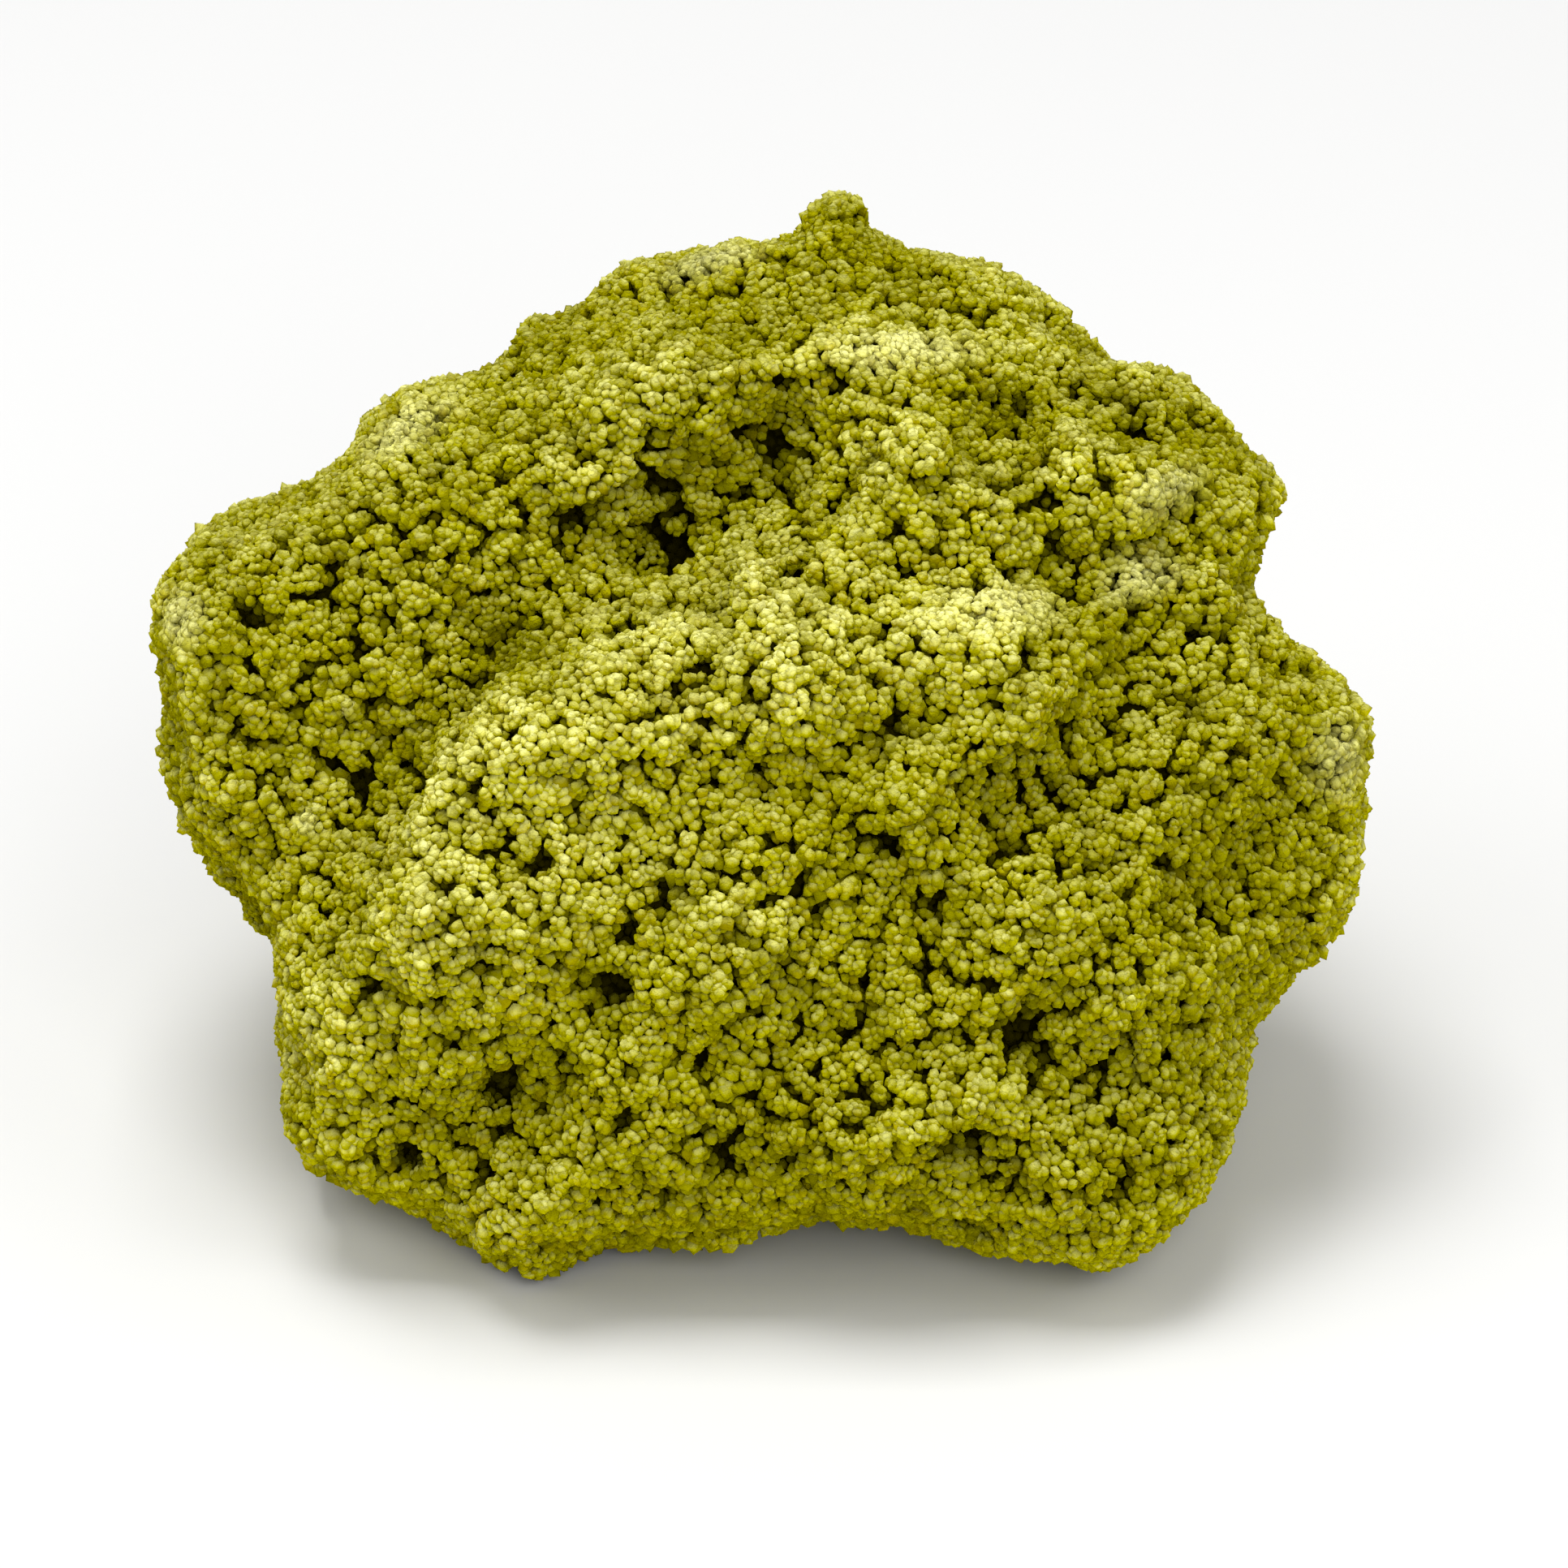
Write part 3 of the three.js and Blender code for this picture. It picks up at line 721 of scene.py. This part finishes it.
def earthy_crust():
    """Yellow-green clay: deep mustard on the beads' flanks, with a painted top light of brighter
    yellow where they look up and on their tips; paler tips, partly pale wear and partly painted
    highlight; palest where powder lies; and painted shade, nearly black olive, deep in the gaps.
    Fine crumb is in the bump and the roughness."""
    mix = Recipe("nontronite_crust")
    height, depth, dust = mix.number("height"), mix.number("depth"), mix.number("dust")
    tone, painted_light_and_weather, knob = mix.number("tone"), mix.number("painted_light_and_weather"), mix.number("knob")
    uneven = mix.speckle(MOTTLE_WIDTH, 3.0) - 0.5
    crumb = (mix.speckle(CRUMB_WIDTH, 1.0) * CRUMB_GAIN - CRUMB_START).held()
    grain = mix.speckle(GRAIN_WIDTH, 2.0)
    sky = mix.upward()
    causes = (sky, crumb, grain, height, knob)

    # Painted top light: a brighter yellow where the bead looks up and on its tips.
    painted_top_lit = (weighed(causes, PAINTED_TOP_LIGHT_WEIGHTS) - PAINTED_TOP_LIGHT_START + uneven * PAINTED_TOP_LIGHT_MOTTLE).held()
    flank = mix.blend((tone * OCHRE_GAIN - OCHRE_START).held(), BODY, OCHRE)
    painted_top_light_colour = mix.blend(painted_top_lit, flank, PAINTED_TOP_LIGHT)

    # Painted shade: the colour turns to the nearly black gap colour as the crust lies deeper.
    clear_of_painted_shade = (CLEAR_OF_SHADE_TOP - depth * PAINTED_SHADE_FALL + uneven * PAINTED_SHADE_MOTTLE).held()
    # Pale on tips and up-facing parts: partly wear and powder, partly painted highlight.
    worn_and_painted_highlight = (weighed(causes, PALE_WEIGHTS) - PALE_START + painted_light_and_weather * PALE_PAINTED_LIGHT_AND_WEATHER).held()
    pale = mix.blend(worn_and_painted_highlight * clear_of_painted_shade, painted_top_light_colour, PALE)

    powder = (dust * DUST_GAIN - DUST_START).held()
    settled = weighed((sky, crumb), (SETTLED_UPWARD, SETTLED_CRUMB)) - SETTLED_START
    dusty = mix.blend((powder * settled).held(), pale, DUST)
    # The painted gap shade laid over the colour.
    shade = mix.blend(clear_of_painted_shade, PAINTED_GAP_SHADE, dusty)
    # Painted shade towards each bead's foot, and the placed paler or darker painting.
    brightness = (painted_light_and_weather * PAINTED_LIGHT_AND_WEATHER_GAIN + 1) * (height * HEIGHT_GAIN + FOOT_BRIGHTNESS)

    relief = crumb * BUMP_CRUMB + grain * BUMP_GRAIN
    sockets = {"Strength": 1.0, "Distance": BUMP_HEIGHT * MM, "Height": relief}
    return mix.finished({
        "Base Color": mix.scaled(shade, brightness),
        "Roughness": (EARTHY_ROUGHNESS - grain * GRAIN_GLOSS).held(),
        "Diffuse Roughness": 0.8,
        "Specular IOR Level": 0.0,
        "Normal": mix.node("ShaderNodeBump", {}, sockets, 0),
    })


def plain_floor():
    """Matt, pale and even, with the faintest tooth."""
    mix = Recipe("studio_floor")
    tooth = mix.speckle(1.5, 2.0)
    return mix.finished({
        "Base Color": FLOOR_TINT,
        "Roughness": 0.9 + tooth * 0.05,
        "Specular IOR Level": 0.1,
    })


# ------------------------------------------------------------------ pieces

# What the body carries for the finish: it is seen only in the gaps and where it stands.
GROUND_HEIGHT, GROUND_TONE, GROUND_KNOB = 0.1, 0.3, 0.2
GROUND_DEPTH, STANDING_DEPTH, STANDING_DUST = 0.35, 0.3, 0.5
FAR_BELOW = -1e3

crust = earthy_crust()

body_depth = spread_out(depth_at(skin, skin_normals)[0], body_faces, np.maximum)
sunk = skin - (body_depth + BODY_SINK)[:, None] * skin_normals
standing = skin[:, 2] < FLOOR_CONTACT
for _ in range(2):
    standing = spread_out(standing, body_faces, np.minimum)
body_points = np.where(standing[:, None], skin, np.maximum(sunk, [FAR_BELOW, FAR_BELOW, 0.0]))
body_points = np.clip(body_points, low, high)
# Deeper ground takes more of the painted gap shade.
ground_depth = GROUND_DEPTH + body_depth / DEEPEST
body_values = {
    "height": np.full(len(skin), GROUND_HEIGHT),
    "depth": np.where(standing, STANDING_DEPTH, np.minimum(1, ground_depth)),
    "dust": np.where(standing, STANDING_DUST, 0.0),
    "tone": np.full(len(skin), GROUND_TONE),
    "knob": np.full(len(skin), GROUND_KNOB),
    "painted_light_and_weather": painted_light_and_weather_at(skin, skin_normals, skin_crest),
}
body = dressed(
    "nontronite_body", make_mesh("nontronite_body", body_points, body_faces), crust,
    body_values, body_map.reshape(-1, 2),
)
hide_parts(NODE)

# The beads are shared out by their bearing round the block, so many to each side.
SIDES = ["front", "front_right", "back_right", "back", "back_left", "front_left"]
HALF_SIDE = 30  # degrees
BEAD_FOOT, BEAD_HEIGHT = 0.2, 1.2  # the finish counts a bead's height from here, over this much

bearing = np.degrees(np.arctan2(seats[:, 0], BALL_CENTRE[1] - seats[:, 1]))
order = np.argsort((bearing + HALF_SIDE) % 360)
height = np.clip((form[:, 2] + BEAD_FOOT) / BEAD_HEIGHT, 0, 1)
own = {"depth": depth / DEEPEST, "dust": dust, "tone": tone, "knob": knob, "painted_light_and_weather": painted_light_and_weather}
for side_name, chosen in zip(SIDES, np.array_split(order, len(SIDES)), strict=True):
    count = len(chosen)
    faces = form_faces[None] + len(form) * np.arange(count)[:, None, None]
    cells = math.ceil(math.sqrt(count))
    cell = np.stack(np.divmod(np.arange(count), cells), 1)[:, None]
    values = {"height": np.tile(height, count)}
    values.update((key, np.repeat(found[chosen], len(form))) for key, found in own.items())
    mesh = make_mesh("beads_" + side_name, corners[chosen].reshape(-1, 3), faces.reshape(-1, 3))
    dressed("beads_" + side_name, mesh, crust, values, (form_map[None] + cell) / cells)

# ------------------------------------------------------------------ floor, light and camera

FLOOR_HALF = 2.0
FLOOR_DROP = 0.00002

floor_corners = FLOOR_HALF / MM * np.array([[-1, -1, 0], [1, -1, 0], [1, 1, 0], [-1, 1, 0.0]])
floor_mesh = make_mesh("floor", floor_corners, np.array([[0, 1, 2, 3]]))
floor_mesh.materials.append(plain_floor())
floor = bpy.data.objects.new("floor", floor_mesh)
floor.location.z = -FLOOR_DROP
bpy.context.scene.collection.objects.link(floor)

AIM = Vector(GIRDLE_CENTRE * MM)


def softbox(name, azimuth, elevation, distance, width, brightness):
    """A square lamp that looks at the block from an azimuth and elevation in degrees. Brightness
    is the light that reaches the block head on."""
    lamp = bpy.data.lights.new(name, "AREA")
    lamp.size = width
    lamp.energy = brightness * math.pi * distance**2
    a, e = math.radians(azimuth), math.radians(elevation)
    out = Vector((math.sin(a) * math.cos(e), -math.cos(a) * math.cos(e), math.sin(e)))
    held = bpy.data.objects.new(name, lamp)
    held.location = AIM + distance * out
    held.rotation_euler = out.to_track_quat("Z", "Y").to_euler()
    bpy.context.scene.collection.objects.link(held)


# Azimuth, elevation, distance, width and brightness of each lamp.
LAMPS = {
    "overhead": (270, 82, 0.9, 0.45, 2.25),
    "left": (290, 45, 0.9, 0.55, 0.6),
    "fill": (15, 35, 1.1, 0.6, 1.0),
    "right": (75, 45, 0.9, 0.6, 0.5),
}
SKY_STRENGTH = 0.35

for lamp_name, numbers in LAMPS.items():
    softbox(lamp_name, *numbers)

world = bpy.data.worlds.new("studio")
world.use_nodes = True
background = world.node_tree.nodes["Background"]
background.inputs["Color"].default_value = colour(1, 1, 1)
background.inputs["Strength"].default_value = SKY_STRENGTH
bpy.context.scene.world = world
bpy.context.scene.view_settings.view_transform = "Standard"

FRAME_PIXELS = 1932
PIXEL = 0.0519 * MM  # how much of the block's middle one pixel spans
FRAME_CENTRE = 966
GIRDLE_PIXEL = (945, 905)
CAMERA_DISTANCE = 0.42
CAMERA_ELEVATION = math.radians(30)

lens = bpy.data.cameras.new("camera")
lens.sensor_width = 36
lens.lens = lens.sensor_width * CAMERA_DISTANCE / (FRAME_PIXELS * PIXEL)
lens.shift_x = (FRAME_CENTRE - GIRDLE_PIXEL[0]) / FRAME_PIXELS
lens.shift_y = (GIRDLE_PIXEL[1] - FRAME_CENTRE) / FRAME_PIXELS
camera = bpy.data.objects.new("camera", lens)
towards = Vector((0, -math.cos(CAMERA_ELEVATION), math.sin(CAMERA_ELEVATION)))
camera.location = AIM + CAMERA_DISTANCE * towards
camera.rotation_euler = towards.to_track_quat("Z", "Y").to_euler()
bpy.context.scene.collection.objects.link(camera)
bpy.context.scene.camera = camera
